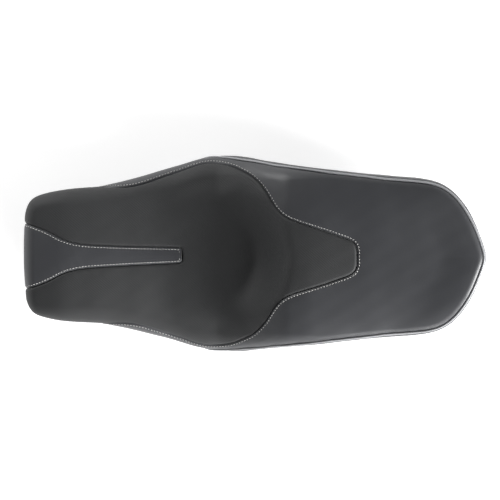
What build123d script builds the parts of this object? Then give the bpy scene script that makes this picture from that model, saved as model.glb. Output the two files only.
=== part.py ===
"""Two-up seat for a maxi scooter: pan, foam, sewn cover, front hinge, striker and bumpers.

The nose points to -X, the tail to +X, the rider's right is +Y and up is +Z. The origin is
on the ground plane, in the middle of the seat's length and width. Lengths are in mm.
"""
from bisect import bisect
from math import hypot, sqrt
import os

from build123d import *

os.makedirs("parts", exist_ok=True)

# Driving dimensions
seat_length = 840.0
cover_thick = 2.2
cover_gap = 0.8            # air between the cover's back and the foam
pan_wall = 3.0
flange_width = 18.0
hem_thick = 1.3
hem_width = 15.0
piping_size = 4.0
edge_lean = 10.0           # how far the side wall leans in at the ground
foam_joint_x = 45.0        # glued joint between the two foam blocks

hinge_x, hinge_z = -366.0, 56.0
pin_r = 5.0
running_gap = 0.05
bush_r = 6.0
bush_flange_r = 9.0
bush_flange = 1.2
bracket_steel = 3.0
frame_ear_y = 30.0         # outer face of each ear of the frame bracket
seat_ear_y = 31.5          # inner face of each ear of the seat bracket
frame_bolt_r = 4.5
frame_bolt_x, frame_bolt_y = 20.0, 43.0
seat_bolt_x, seat_bolt_y = 20.0, 42.0
nose_floor_z = 80.0        # top of the pan's floor over the hinge

striker_x = 330.0
striker_wire_r = 4.0
striker_leg_y = 16.0
striker_drop = 42.0
tail_floor_z = 90.0

bumper_r = 11.0
bumper_stem_r = 4.0

half_length = seat_length / 2

# Right half of the outline seen from above, nose to tail
outline_points = [
    (-420, 0), (-419.5, 57), (-415, 92), (-404, 108), (-377, 117.5), (-343, 122.5),
    (-300, 126.5), (-266, 130.5), (-222, 140), (-178, 152.6), (-134, 166), (-95, 178),
    (-55, 182), (-20, 180.5), (31, 171.4), (97, 162), (163, 154), (229, 147), (295, 141.3),
    (328, 135.7), (352, 125), (373, 106), (394, 74.4), (406.5, 46), (416, 19.5), (420, 0),
]
# Half width of the nose insert, and the seam round the rider's panel
insert_points = [
    (-430, 61), (-419, 60), (-409, 58.5), (-388, 52), (-368, 43.5), (-348, 33), (-328, 26),
    (-308, 22.5), (-268, 19.6), (-208, 17), (-129.4, 14.5),
]
rider_seam_points = [
    (-289, 127.5), (-250, 126.4), (-221, 127.8), (-193, 135), (-165, 145), (-137, 154.8),
    (-109, 165.1), (-81, 171), (-54, 168.9), (-34, 163.4), (-17, 155.2), (1, 144),
    (13, 132.4), (27, 113.7), (41, 90.5), (54, 76.5), (81, 63.5), (108, 54.6), (135, 45.5),
    (162, 36), (183, 24), (190, 10), (190, 0),
]
# Heights along the length: rider's saddle, passenger's cushion, bottom edge, piping line
saddle_points = [
    (-430, 128), (-395, 137), (-355, 139), (-300, 132), (-220, 116), (-140, 101), (-70, 96),
    (0, 96), (80, 100), (430, 100),
]
cushion_points = [
    (-430, 128), (-395, 137), (-355, 139), (-300, 132), (-220, 116), (-140, 103), (-70, 104),
    (-20, 122), (30, 152), (70, 168), (110, 172), (190, 170), (280, 167), (340, 168),
    (430, 168),
]
edge_points = [
    (-430, 66), (-395, 60), (-350, 42), (-300, 22), (-240, 9), (-200, 5.2), (-150, 4.2),
    (-60, 4), (30, 4.6), (90, 7), (140, 13), (200, 26), (290, 46), (360, 58), (430, 66),
]
piping_points = [
    (-440, -60), (-235, -34), (-192, 3), (-150, 17), (-110, 30), (-80, 41), (-50, 57), (-25, 72),
    (0, 87), (25, 105), (50, 122), (80, 135), (110, 142.5), (150, 146.5), (250, 146), (300, 149.5),
    (340, 153.5), (365, 157.5), (400, 164.5), (440, 167),
]
floor_points = [
    (-440, nose_floor_z), (-318, nose_floor_z), (-225, 34), (55, 34), (130, 58), (200, 80),
    (270, tail_floor_z), (440, tail_floor_z),
]
dish_x, dish_flat_r, dish_r = -70.0, 70.0, 140.0
loft_stations = [
    -419.3, -417, -413, -407, -399, -387, -370, -345, -310, -265, -215, -165, -115, -70,
    -35, -5, 20, 45, 65, 80, 100, 140, 190, 240, 285, 320, 345, 362, 377, 389, 398, 405, 411,
    415.5, 418.5,
]
crown_steps = [0, 0.18, 0.36, 0.54, 0.7, 0.82, 0.91, 0.965, 0.99, 1]


def ease(t):
    """Smooth step from 0 to 1."""
    t = min(max(t, 0), 1)
    return t * t * (3 - 2 * t)


def height_along(points, x):
    """Height at x on the monotone cubic through (x, z) points."""
    i = min(max(bisect([p[0] for p in points], x) - 1, 0), len(points) - 2)
    slopes = [
        (points[j + 1][1] - points[j][1]) / (points[j + 1][0] - points[j][0])
        for j in range(len(points) - 1)
    ]

    def tangent(j):
        if j == 0 or j == len(points) - 1 or slopes[j - 1] * slopes[j] <= 0:
            return 0.0
        return 2 * slopes[j - 1] * slopes[j] / (slopes[j - 1] + slopes[j])

    (xa, za), (xb, zb) = points[i], points[i + 1]
    h = xb - xa
    t = min(max((x - xa) / h, 0), 1)
    return (
        za * (1 + 2 * t) * (1 - t) ** 2 + tangent(i) * h * t * (1 - t) ** 2
        + zb * t * t * (3 - 2 * t) - tangent(i + 1) * h * t * t * (1 - t)
    )


with BuildLine() as outline:
    outline_curve = Spline(*outline_points, tangents=[(0, 1), (0, -1)])
outline_samples = [outline_curve @ (i / 500) for i in range(501)]
outline_samples = [(p.X, p.Y) for p in outline_samples]


def half_width(x):
    """Half of the seat's width at x."""
    i = min(max(bisect([p[0] for p in outline_samples], x), 1), 500)
    (xa, ya), (xb, yb) = outline_samples[i - 1], outline_samples[i]
    return ya + (yb - ya) * (x - xa) / (xb - xa)


def edge_distance(x, y):
    """Distance from (x, y) to the outline."""
    return min(hypot(x - a, abs(y) - b) for a, b in outline_samples)


def crown(x, y):
    """Height of the upholstery before its edges are rolled over."""
    saddle = height_along(saddle_points, x)
    saddle -= 16 * ease((-60 - x) / 200) * (abs(y) / 150) ** 2.2
    saddle += 6 * ease((x + 200) / 120) * (min(abs(y), 120) / 120) ** 2
    cushion = height_along(cushion_points, x) - 18 * (abs(y) / 150) ** 2.6
    reach = (hypot(x - dish_x, y) - dish_flat_r) / (dish_r - dish_flat_r)
    if reach <= 0:
        return saddle
    rise = cushion - saddle
    if rise <= 0:
        return saddle + rise * ease(reach)
    # The dish's wall steepens and meets the cushion in a narrow crease
    wall = saddle + rise * reach ** 2 * (2.3 - 1.3 * min(reach, 1.2))
    crease = 0.1 + 5 * min(rise / 15, 1)
    overlap = max(crease - abs(cushion - wall), 0) / crease
    return min(cushion, wall) - overlap ** 2 * crease / 4


def roll_radius(x):
    """Radius of the shoulder between the top and the side."""
    return 22 + 14 * ease((x + 420) / 160) * (1 - ease(x / 160)) - 6 * ease(x / 160)


def skin_height(x, y):
    """Height of the cover's outside at (x, y)."""
    depth = edge_distance(x, y)
    if abs(y) >= half_width(x) - 1e-6:
        depth = 0
    tail = ease((x - 215) / 110)
    lift = tail * (9 * ease((90 - depth) / 50) - 4 * ease((130 - depth) / 60))
    r = roll_radius(x)
    drop = r - sqrt(r * r - (r - depth) ** 2) if depth < r else 0
    return crown(x, y) + lift - drop


def seat_form(inset, extra_depth=0):
    """Solid of the whole upholstered seat, drawn in by inset and longer below."""
    with BuildPart() as form:
        for station in loft_stations:
            width = half_width(station)
            narrow = max(width - inset, 2)
            steps = [-s for s in crown_steps[:0:-1]] + crown_steps
            top = [(s * narrow, skin_height(station, s * width) - inset) for s in steps]
            low = height_along(edge_points, station)
            lean = edge_lean * (1 - ease(low / 75))
            foot = narrow - lean - lean * extra_depth / max(top[0][1] - low - inset, 20)
            low -= extra_depth
            with BuildSketch(Plane.YZ.offset(station * (half_length - inset) / half_length)):
                with BuildLine():
                    over = Spline(*top)
                    Polyline(over @ 1, (foot, low), (-foot, low), over @ 0)
                make_face()
        loft()
    return form.part


def wall_form(inset, extra_depth=0):
    """Solid between the seat's side walls only, drawn in by inset and longer below."""
    with BuildPart() as form:
        for station in loft_stations:
            narrow = max(half_width(station) - inset, 2)
            high = skin_height(station, half_width(station))
            low = height_along(edge_points, station)
            lean = edge_lean * (1 - ease(low / 75))
            foot = narrow - lean - lean * extra_depth / max(high - low, 20)
            low -= extra_depth
            with BuildSketch(Plane.YZ.offset(station * (half_length - inset) / half_length)):
                with BuildLine():
                    Polyline((-foot, low), (-narrow, high), (narrow, high), (foot, low), close=True)
                make_face()
        loft()
    return form.part


def side_band(low_points, high_points, low_shift=0.0, high_shift=0.0):
    """Block across the seat between two height lines."""
    low = [(x, z + low_shift) for x, z in low_points]
    high = [(x, z + high_shift) for x, z in high_points]
    with BuildPart() as band:
        with BuildSketch(Plane.XZ):
            with BuildLine():
                Polyline(*low, *high[::-1], close=True)
            make_face()
        extrude(amount=250, both=True)
    return band.part


def outline_prism(inset, low=-40.0, high=230.0):
    """Upright block inside the outline, drawn in by inset."""
    scale = (half_length - inset) / half_length
    points = [(x * scale, max(y - inset, 0)) for x, y in outline_points]
    with BuildPart() as prism:
        with BuildSketch(Plane.XY.offset(low)):
            with BuildLine():
                Spline(*points, tangents=[(0, 1), (0, -1)])
                mirror(about=Plane.XZ)
            make_face()
        extrude(amount=high - low)
    return prism.part


ground = [(-440, -90), (440, -90)]
sky = [(-440, 260), (440, 260)]
outer_form = seat_form(0)
lining_form = seat_form(cover_thick, 12)
foam_form = seat_form(cover_thick + cover_gap, 12)
pan_form = wall_form(cover_thick + cover_gap, 12)
pan_inside = wall_form(cover_thick + cover_gap + pan_wall, 30)
above_floor = side_band(floor_points, sky)
below_floor = side_band(ground, floor_points)
under_floor = side_band(ground, floor_points, 0, -pan_wall)
flange_band = side_band(edge_points, edge_points, hem_thick + 0.2, hem_thick + 0.2 + pan_wall)
above_flange = side_band(edge_points, sky, hem_thick + 0.2)
hem_band = side_band(edge_points, edge_points, 0, hem_thick)

# Foam blocks, glued to each other and to the pan
with BuildPart() as foam_rider:
    add(foam_form)
    add(above_floor, mode=Mode.INTERSECT)
    with Locations((foam_joint_x, 0, -50)):
        Box(500, 600, 400, align=(Align.MIN, Align.CENTER, Align.MIN), mode=Mode.SUBTRACT)
    # pocket over the hinge's tee nuts
    with Locations((hinge_x + 2, 0, nose_floor_z - 5)):
        Box(66, 110, 9, align=(Align.CENTER, Align.CENTER, Align.MIN), mode=Mode.SUBTRACT)
foam_rider.part.label = "foam_rider"
export_step(foam_rider.part, "parts/foam_rider.step")

with BuildPart() as foam_passenger:
    add(foam_form)
    add(above_floor, mode=Mode.INTERSECT)
    with Locations((foam_joint_x, 0, -50)):
        Box(500, 600, 400, align=(Align.MAX, Align.CENTER, Align.MIN), mode=Mode.SUBTRACT)
    # pocket over the striker's nuts
    with Locations((striker_x, 0, tail_floor_z - 5)):
        Box(34, 60, 18, align=(Align.CENTER, Align.CENTER, Align.MIN), mode=Mode.SUBTRACT)
foam_passenger.part.label = "foam_passenger"
export_step(foam_passenger.part, "parts/foam_passenger.step")

# Right half of the cover shell, cut along its seams and mirrored
with BuildPart() as cover_half:
    add(outer_form)
    add(lining_form, mode=Mode.SUBTRACT)
    with Locations((0, 150, 0)):
        Box(1000, 300, 600, mode=Mode.INTERSECT)

with BuildPart() as insert_block:
    with BuildSketch(Plane.XY.offset(-20)):
        with BuildLine():
            edge = Spline(*insert_points)
            Line(edge @ 1, (insert_points[-1][0], 0))
            Line(edge @ 0, (insert_points[0][0], 0))
            mirror(about=Plane.XZ)
        make_face()
    extrude(amount=260)

with BuildPart() as rider_block:
    with BuildSketch(Plane.XY.offset(-20)):
        with BuildLine():
            seam = Spline(*rider_seam_points)
            Polyline(seam @ 0, (-289, 150), (-440, 150), (-440, 0))
            mirror(about=Plane.XZ)
        make_face()
    extrude(amount=260)
    # the seam runs on down the side wall, forward to the bottom edge
    with BuildSketch(Plane.XZ):
        with BuildLine():
            Polyline((-348, -30), (-348, 36), (-289, 86), (-230, 76), (-170, 56), (-100, 48),
                     (-20, 48), (60, 62), (60, -30), close=True)
        make_face()
    extrude(amount=250, both=True, mode=Mode.SUBTRACT)

with BuildPart() as cover_nose_insert:
    add(cover_half.part)
    add(insert_block.part, mode=Mode.INTERSECT)
    mirror(about=Plane.XZ)
cover_nose_insert.part.label = "cover_nose_insert"
export_step(cover_nose_insert.part, "parts/cover_nose_insert.step")

with BuildPart() as cover_rider_panel:
    add(cover_half.part)
    add(rider_block.part, mode=Mode.INTERSECT)
    add(insert_block.part, mode=Mode.SUBTRACT)
    mirror(about=Plane.XZ)
cover_rider_panel.part.label = "cover_rider_panel"
export_step(cover_rider_panel.part, "parts/cover_rider_panel.step")

with BuildPart() as cover_rest:
    add(cover_half.part)
    add(rider_block.part, mode=Mode.SUBTRACT)
    add(insert_block.part, mode=Mode.SUBTRACT)

half_pipe = piping_size / 2
with BuildPart() as cover_passenger_panel:
    add(cover_rest.part)
    add(side_band(piping_points, sky, half_pipe), mode=Mode.INTERSECT)
    mirror(about=Plane.XZ)
cover_passenger_panel.part.label = "cover_passenger_panel"
export_step(cover_passenger_panel.part, "parts/cover_passenger_panel.step")

with BuildPart() as piping:
    add(cover_rest.part)
    add(side_band(piping_points, piping_points, -half_pipe, half_pipe), mode=Mode.INTERSECT)
    mirror(about=Plane.XZ)
piping.part.label = "piping"
export_step(piping.part, "parts/piping.step")

with BuildPart() as cover_skirt_right:
    add(cover_rest.part)
    add(side_band(ground, piping_points, 0, -half_pipe), mode=Mode.INTERSECT)
cover_skirt_right.part.label = "cover_skirt_right"
export_step(cover_skirt_right.part, "parts/cover_skirt_right.step")

with BuildPart() as cover_skirt_left:
    mirror(cover_skirt_right.part, about=Plane.XZ)
cover_skirt_left.part.label = "cover_skirt_left"
export_step(cover_skirt_left.part, "parts/cover_skirt_left.step")

# Edge of the cover, turned under the pan's flange
with BuildPart() as cover_hem:
    add(wall_form(cover_thick + 0.3, 12))
    add(hem_band, mode=Mode.INTERSECT)
    add(outline_prism(edge_lean + cover_thick + hem_width), mode=Mode.SUBTRACT)
cover_hem.part.label = "cover_hem"
export_step(cover_hem.part, "parts/cover_hem.step")

# Moulded pan: raised floor, side wall, flange, ribs and bumper posts
bumper_places = [
    # name, x, y, ground height, bumper height
    ("front", -190.0, 100.0, 0.0, 14.0),
    ("middle", 105.0, 100.0, 0.0, 20.0),
    ("rear", 300.0, 75.0, 40.0, 20.0),
]
rib_depth = 12.0
rib_thick = 2.5
with BuildPart() as pan_ribs:
    with BuildSketch(Plane.XY.offset(-10)):
        with Locations((0, 62), (0, -62)):
            Rectangle(520, rib_thick)
        with Locations(*[(-230 + 90 * i, 0) for i in range(6)]):
            Rectangle(rib_thick, 420)
    extrude(amount=130)
    add(side_band(floor_points, floor_points, -pan_wall - rib_depth, -1), mode=Mode.INTERSECT)
    add(pan_form, mode=Mode.INTERSECT)

with BuildPart() as pan_posts:
    for _, x, y, foot_z, tall in bumper_places:
        with Locations((x, y, foot_z + tall), (x, -y, foot_z + tall)):
            Cylinder(bumper_r + 1, 80, align=(Align.CENTER, Align.CENTER, Align.MIN))
    add(below_floor, mode=Mode.INTERSECT)

with BuildPart() as pan_hollow:
    add(pan_inside)
    add(under_floor, mode=Mode.INTERSECT)

with BuildPart() as pan_flange:
    add(pan_form)
    add(flange_band, mode=Mode.INTERSECT)
    add(outline_prism(edge_lean + cover_thick + cover_gap + flange_width), mode=Mode.SUBTRACT)

with BuildPart() as base_pan:
    add(pan_form)
    add(below_floor, mode=Mode.INTERSECT)
    add(above_flange, mode=Mode.INTERSECT)
    add(pan_hollow.part, mode=Mode.SUBTRACT)
    add(pan_flange.part)
    add(pan_ribs.part)
    add(pan_posts.part)
    for _, x, y, foot_z, tall in bumper_places:
        with Locations((x, y, foot_z + tall), (x, -y, foot_z + tall)):
            Cylinder(bumper_stem_r, 10, align=(Align.CENTER, Align.CENTER, Align.MIN), mode=Mode.SUBTRACT)
    with Locations((hinge_x + 2, 0, nose_floor_z)):
        with GridLocations(2 * seat_bolt_x, 2 * seat_bolt_y, 2, 2):
            Cylinder(4.25, 20, mode=Mode.SUBTRACT)
    with Locations((striker_x, striker_leg_y, tail_floor_z), (striker_x, -striker_leg_y, tail_floor_z)):
        Cylinder(striker_wire_r, 20, mode=Mode.SUBTRACT)
base_pan.part.label = "base_pan"
export_step(base_pan.part, "parts/base_pan.step")

# Rubber bumpers pressed into the posts
for name, x, y, foot_z, tall in bumper_places:
    for hand, side in (("left", -1), ("right", 1)):
        with BuildPart() as bumper:
            with Locations((x, side * y, foot_z)):
                Cylinder(bumper_r, tall, align=(Align.CENTER, Align.CENTER, Align.MIN))
            fillet(bumper.edges().group_by(Axis.Z)[0], 2.0)
            with Locations((x, side * y, foot_z + tall)):
                Cylinder(bumper_stem_r, 9, align=(Align.CENTER, Align.CENTER, Align.MIN))
        bumper.part.label = f"bumper_{name}_{hand}"
        export_step(bumper.part, f"parts/bumper_{name}_{hand}.step")

# Staples through the hem into the flange
staple_inset = edge_lean + cover_thick + hem_width / 2
with BuildLine() as staple_line:
    scale = (half_length - staple_inset) / half_length
    staple_points = [(x * scale, max(y - staple_inset, 0)) for x, y in outline_points]
    staple_curve = Spline(*staple_points, tangents=[(0, 1), (0, -1)])
staple_count = 30
staple_long, staple_wide, staple_deep = 10.0, 1.2, 0.8
with BuildPart() as cover_staples:
    for i in range(staple_count):
        place = 0.02 + 0.96 * i / (staple_count - 1)
        spot, way = staple_curve @ place, staple_curve % place
        slope = (
            height_along(edge_points, spot.X + 1) - height_along(edge_points, spot.X - 1)
        ) / 2
        for side in (-1, 1):
            along = Vector(way.X, side * way.Y, way.X * slope).normalized()
            up = Vector(-slope, 0, 1).normalized()
            low = height_along(edge_points, spot.X)
            with Locations(Plane(Vector(spot.X, side * spot.Y, low), x_dir=along, z_dir=up)):
                Box(staple_long, staple_wide, staple_deep, align=(Align.CENTER, Align.CENTER, Align.MAX))
                with Locations((staple_long / 2 - 0.5, 0, 0), (0.5 - staple_long / 2, 0, 0)):
                    Box(1, staple_wide, 4, align=(Align.CENTER, Align.CENTER, Align.MIN))
cover_staples.part.label = "cover_staples"
export_step(cover_staples.part, "parts/cover_staples.step")

# Frame bracket: base plate on the frame with two upright ears
hinge_axis = Plane(origin=(hinge_x, 0, hinge_z), x_dir=(1, 0, 0), z_dir=(0, -1, 0))
ear_r = 10.0
with BuildPart() as hinge_frame_bracket:
    with Locations((-348, 0, 0)):
        Box(60, 110, bracket_steel, align=(Align.CENTER, Align.CENTER, Align.MIN))
    fillet(hinge_frame_bracket.edges().filter_by(Axis.Z), 8)
    for side in (-1, 1):
        middle = side * (frame_ear_y - bracket_steel / 2)
        with BuildSketch(hinge_axis.offset(-middle)):
            with BuildLine():
                Polyline((-ear_r, 0), (-ear_r, -hinge_z), (38, -hinge_z), (38, -hinge_z + 8), (9.2, 4))
                ThreePointArc((9.2, 4), (0, ear_r), (-ear_r, 0))
            make_face()
            Circle(bush_r, mode=Mode.SUBTRACT)
        extrude(amount=bracket_steel / 2, both=True)
    # turned-up web between the ears
    with Locations((-330, 0, 0)):
        Box(bracket_steel, 2 * frame_ear_y - 2, 18, align=(Align.CENTER, Align.CENTER, Align.MIN))
    with Locations((-348, 0, 0)):
        with GridLocations(2 * frame_bolt_x, 2 * frame_bolt_y, 2, 2):
            Cylinder(frame_bolt_r, 20, mode=Mode.SUBTRACT)
hinge_frame_bracket.part.label = "hinge_frame_bracket"
export_step(hinge_frame_bracket.part, "parts/hinge_frame_bracket.step")

# Flanged bushes in the frame bracket's ears
for name, side in (("left", -1), ("right", 1)):
    with BuildPart() as bush:
        with BuildSketch(hinge_axis.offset(-side * (frame_ear_y - bracket_steel))):
            Circle(bush_r)
        extrude(amount=-side * bracket_steel)
        with BuildSketch(hinge_axis.offset(-side * frame_ear_y)):
            Circle(bush_flange_r)
        extrude(amount=-side * bush_flange)
        with BuildSketch(hinge_axis):
            Circle(pin_r + running_gap)
        extrude(amount=60, both=True, mode=Mode.SUBTRACT)
    bush.part.label = f"hinge_bush_{name}"
    export_step(bush.part, f"parts/hinge_bush_{name}.step")

# Seat bracket: plate under the pan's floor with two ears that hang outside the bushes
plate_top = nose_floor_z - pan_wall
with BuildPart() as hinge_seat_bracket:
    with Locations((hinge_x + 2, 0, plate_top)):
        Box(60, 104, bracket_steel, align=(Align.CENTER, Align.CENTER, Align.MAX))
    fillet(hinge_seat_bracket.edges().filter_by(Axis.Z), 7)
    for side in (-1, 1):
        middle = side * (seat_ear_y + bracket_steel / 2)
        rise = plate_top - bracket_steel - hinge_z + 1
        with BuildSketch(hinge_axis.offset(-middle)):
            with BuildLine():
                Polyline((-ear_r, 0), (-22, rise), (26, rise), (ear_r, 0))
                ThreePointArc((ear_r, 0), (0, -ear_r), (-ear_r, 0))
            make_face()
            Circle(pin_r, mode=Mode.SUBTRACT)
        extrude(amount=bracket_steel / 2, both=True)
    with Locations((hinge_x + 2, 0, plate_top)):
        with GridLocations(2 * seat_bolt_x, 2 * seat_bolt_y, 2, 2):
            Cylinder(3.3, 20, mode=Mode.SUBTRACT)
hinge_seat_bracket.part.label = "hinge_seat_bracket"
export_step(hinge_seat_bracket.part, "parts/hinge_seat_bracket.step")

# Clevis pin with a head on the left and a groove for its clip on the right
pin_face = seat_ear_y + bracket_steel
washer_thick, clip_thick, pin_tail = 1.2, 1.0, 3.3
pin_groove_y = pin_face + washer_thick
with BuildPart() as hinge_pin:
    with BuildSketch(hinge_axis.offset(pin_face)):
        Circle(pin_r)
    extrude(amount=-(2 * pin_face + washer_thick + pin_tail))
    chamfer(hinge_pin.edges().group_by(Axis.Y)[-1], 0.8)
    with BuildSketch(hinge_axis.offset(pin_face)):
        Circle(7.5)
    extrude(amount=bracket_steel)
    with BuildSketch(hinge_axis.offset(-pin_groove_y)):
        Circle(pin_r + 1)
        Circle(pin_r - 1, mode=Mode.SUBTRACT)
    extrude(amount=-clip_thick, mode=Mode.SUBTRACT)
hinge_pin.part.label = "hinge_pin"
export_step(hinge_pin.part, "parts/hinge_pin.step")

with BuildPart() as hinge_washer:
    with BuildSketch(hinge_axis.offset(-pin_face)):
        Circle(10)
        Circle(pin_r, mode=Mode.SUBTRACT)
    extrude(amount=-washer_thick)
hinge_washer.part.label = "hinge_washer"
export_step(hinge_washer.part, "parts/hinge_washer.step")

with BuildPart() as hinge_clip:
    with BuildSketch(hinge_axis.offset(-pin_groove_y)):
        Circle(8.5)
        Circle(pin_r - 1, mode=Mode.SUBTRACT)
        with Locations((0, -8)):
            Rectangle(6, 16, mode=Mode.SUBTRACT)
    extrude(amount=-clip_thick)
hinge_clip.part.label = "hinge_clip"
export_step(hinge_clip.part, "parts/hinge_clip.step")

# Bolts and tee nuts that hold the seat bracket to the pan
seat_bolts = Plane.XY.offset(plate_top - bracket_steel)
with BuildPart() as hinge_bolts:
    with BuildSketch(seat_bolts):
        with Locations((hinge_x + 2, 0)):
            with GridLocations(2 * seat_bolt_x, 2 * seat_bolt_y, 2, 2):
                Circle(3)
    extrude(amount=8.5)
    with BuildSketch(seat_bolts):
        with Locations((hinge_x + 2, 0)):
            with GridLocations(2 * seat_bolt_x, 2 * seat_bolt_y, 2, 2):
                Circle(6.5)
    extrude(amount=-1)
    with BuildSketch(seat_bolts.offset(-1)):
        with Locations((hinge_x + 2, 0)):
            with GridLocations(2 * seat_bolt_x, 2 * seat_bolt_y, 2, 2):
                RegularPolygon(5.5, 6)
    extrude(amount=-4)
hinge_bolts.part.label = "hinge_bolts"
export_step(hinge_bolts.part, "parts/hinge_bolts.step")

with BuildPart() as hinge_tee_nuts:
    with BuildSketch(Plane.XY.offset(plate_top)):
        with Locations((hinge_x + 2, 0)):
            with GridLocations(2 * seat_bolt_x, 2 * seat_bolt_y, 2, 2):
                Circle(4.25)
    extrude(amount=pan_wall)
    with BuildSketch(Plane.XY.offset(nose_floor_z)):
        with Locations((hinge_x + 2, 0)):
            with GridLocations(2 * seat_bolt_x, 2 * seat_bolt_y, 2, 2):
                Circle(9)
    extrude(amount=1.5)
    with Locations((hinge_x + 2, 0, plate_top)):
        with GridLocations(2 * seat_bolt_x, 2 * seat_bolt_y, 2, 2):
            Cylinder(3, 20, mode=Mode.SUBTRACT)
hinge_tee_nuts.part.label = "hinge_tee_nuts"
export_step(hinge_tee_nuts.part, "parts/hinge_tee_nuts.step")

# Striker that the latch on the frame catches
striker_face = tail_floor_z - pan_wall
striker_low = striker_face - bracket_steel
with BuildPart() as striker_loop:
    with BuildLine():
        FilletPolyline(
            (striker_x, -striker_leg_y, tail_floor_z + 9),
            (striker_x, -striker_leg_y, striker_low - striker_drop + striker_wire_r),
            (striker_x, striker_leg_y, striker_low - striker_drop + striker_wire_r),
            (striker_x, striker_leg_y, tail_floor_z + 9),
            radius=12,
        )
    with BuildSketch(Plane(origin=(striker_x, -striker_leg_y, tail_floor_z + 9), z_dir=(0, 0, -1))):
        Circle(striker_wire_r)
    sweep()
    with Locations((striker_x, striker_leg_y, striker_low), (striker_x, -striker_leg_y, striker_low)):
        Cylinder(7.5, 2, align=(Align.CENTER, Align.CENTER, Align.MAX))
striker_loop.part.label = "striker_loop"
export_step(striker_loop.part, "parts/striker_loop.step")

with BuildPart() as striker_plate:
    with Locations((striker_x, 0, striker_low)):
        Box(40, 64, bracket_steel, align=(Align.CENTER, Align.CENTER, Align.MIN))
    fillet(striker_plate.edges().filter_by(Axis.Z), 6)
    with Locations((striker_x, striker_leg_y, striker_low), (striker_x, -striker_leg_y, striker_low)):
        Cylinder(striker_wire_r, 20, mode=Mode.SUBTRACT)
striker_plate.part.label = "striker_plate"
export_step(striker_plate.part, "parts/striker_plate.step")

with BuildPart() as striker_nuts:
    with BuildSketch(Plane.XY.offset(tail_floor_z)):
        with Locations((striker_x, striker_leg_y), (striker_x, -striker_leg_y)):
            RegularPolygon(7.5, 6)
            Circle(striker_wire_r, mode=Mode.SUBTRACT)
    extrude(amount=6.5)
striker_nuts.part.label = "striker_nuts"
export_step(striker_nuts.part, "parts/striker_nuts.step")
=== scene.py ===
import math

import bmesh
import bpy
import numpy as np
from mathutils import Matrix, Vector


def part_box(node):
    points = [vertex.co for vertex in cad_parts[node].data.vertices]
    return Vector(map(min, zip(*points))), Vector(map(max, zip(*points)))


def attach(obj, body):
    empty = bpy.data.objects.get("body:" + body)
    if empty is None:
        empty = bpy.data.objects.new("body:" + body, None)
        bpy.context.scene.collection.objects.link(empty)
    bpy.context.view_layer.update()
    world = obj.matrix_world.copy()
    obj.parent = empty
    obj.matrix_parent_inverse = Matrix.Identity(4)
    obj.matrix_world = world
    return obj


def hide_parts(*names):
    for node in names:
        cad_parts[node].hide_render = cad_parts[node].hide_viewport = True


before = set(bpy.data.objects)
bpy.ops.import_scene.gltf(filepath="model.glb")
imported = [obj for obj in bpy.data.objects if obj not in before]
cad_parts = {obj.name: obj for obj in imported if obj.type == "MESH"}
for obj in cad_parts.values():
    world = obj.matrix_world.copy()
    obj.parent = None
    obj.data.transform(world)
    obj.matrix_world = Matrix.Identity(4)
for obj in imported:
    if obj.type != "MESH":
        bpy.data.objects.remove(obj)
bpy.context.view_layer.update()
mm = 0.001

# The form of the upholstered seat, in millimetres: -X nose, +X tail, +Y the rider's right
seatForm = {
    "outline": [
        (-417.5, 0), (-417, 57), (-412, 88), (-403, 102), (-384, 111.5), (-360, 117.5),
        (-330, 121.5), (-293, 125.5), (-262, 130.5), (-222, 140), (-178, 152.6), (-134, 166),
        (-95, 178),
        (-55, 182), (-20, 180.5), (31, 171.4), (97, 162), (163, 154), (229, 147),
        (295, 141.3), (328, 135.7), (352, 125), (373, 106), (394, 74.4), (406.5, 46),
        (416, 19.5), (420, 0),
    ],
    "saddle": [
        (-430, 128), (-395, 137), (-355, 139), (-300, 132), (-220, 116), (-140, 101),
        (-70, 96), (0, 96), (80, 100), (430, 100),
    ],
    "cushion": [
        (-430, 128), (-395, 137), (-355, 139), (-300, 132), (-220, 116), (-140, 103),
        (-70, 104), (-20, 122), (30, 152), (70, 168), (110, 172), (190, 170), (270, 166),
        (330, 165.5), (430, 167),
    ],
    "bottomEdge": [
        (-430, 66), (-395, 60), (-350, 42), (-300, 22), (-240, 9), (-200, 5.2), (-150, 4.2),
        (-60, 4), (30, 4.6), (90, 7), (140, 13), (200, 26), (290, 46), (360, 58), (430, 66),
    ],
    "piping": [
        (-235, -34), (-192, 3), (-150, 17), (-110, 30), (-80, 41), (-50, 57), (-25, 73),
        (0, 88), (25, 106), (50, 123), (80, 136.2), (110, 143.8), (150, 147.9), (250, 147.6),
        (300, 151), (340, 155), (365, 159), (400, 166), (440, 168.3),
    ],
    "dishMiddle": -70, "dishFlat": 70, "dishRim": 140,
    "saddleRound": 16, "hipLift": 6, "cushionRound": 18,  # fall or rise towards the sides
    "creaseWidth": 5,
    "rimHeight": 6, "rimStart": 235, "rimRun": 110, "rimInner": 82, "rimWidth": 68,
    "rollNose": 22, "rollWaist": 14, "rollTail": -6,  # shoulder radius, and changes to it
    "wallLean": 10, "leanFades": 75,  # no lean where the bottom edge is this high
}


def ease(t):
    t = np.clip(t, 0, 1)
    return t * t * (3 - 2 * t)


def heightAlong(points, x):  # monotone cubic through the points, for a whole array of x
    px, pz = np.array(points, float).T
    slope = np.diff(pz) / np.diff(px)
    tangent = np.zeros(len(px))
    both = slope[:-1] * slope[1:]
    tangent[1:-1] = np.where(both > 0, 2 * both / (slope[:-1] + slope[1:] + 1e-12), 0)
    x = np.clip(x, px[0], px[-1])
    i = np.clip(np.searchsorted(px, x, side="right") - 1, 0, len(px) - 2)
    h = px[i + 1] - px[i]
    t = (x - px[i]) / h
    return (
        pz[i] * (1 + 2 * t) * (1 - t) ** 2 + pz[i + 1] * t * t * (3 - 2 * t)
        + h * (tangent[i] * t * (1 - t) ** 2 - tangent[i + 1] * t * t * (1 - t))
    )


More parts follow.
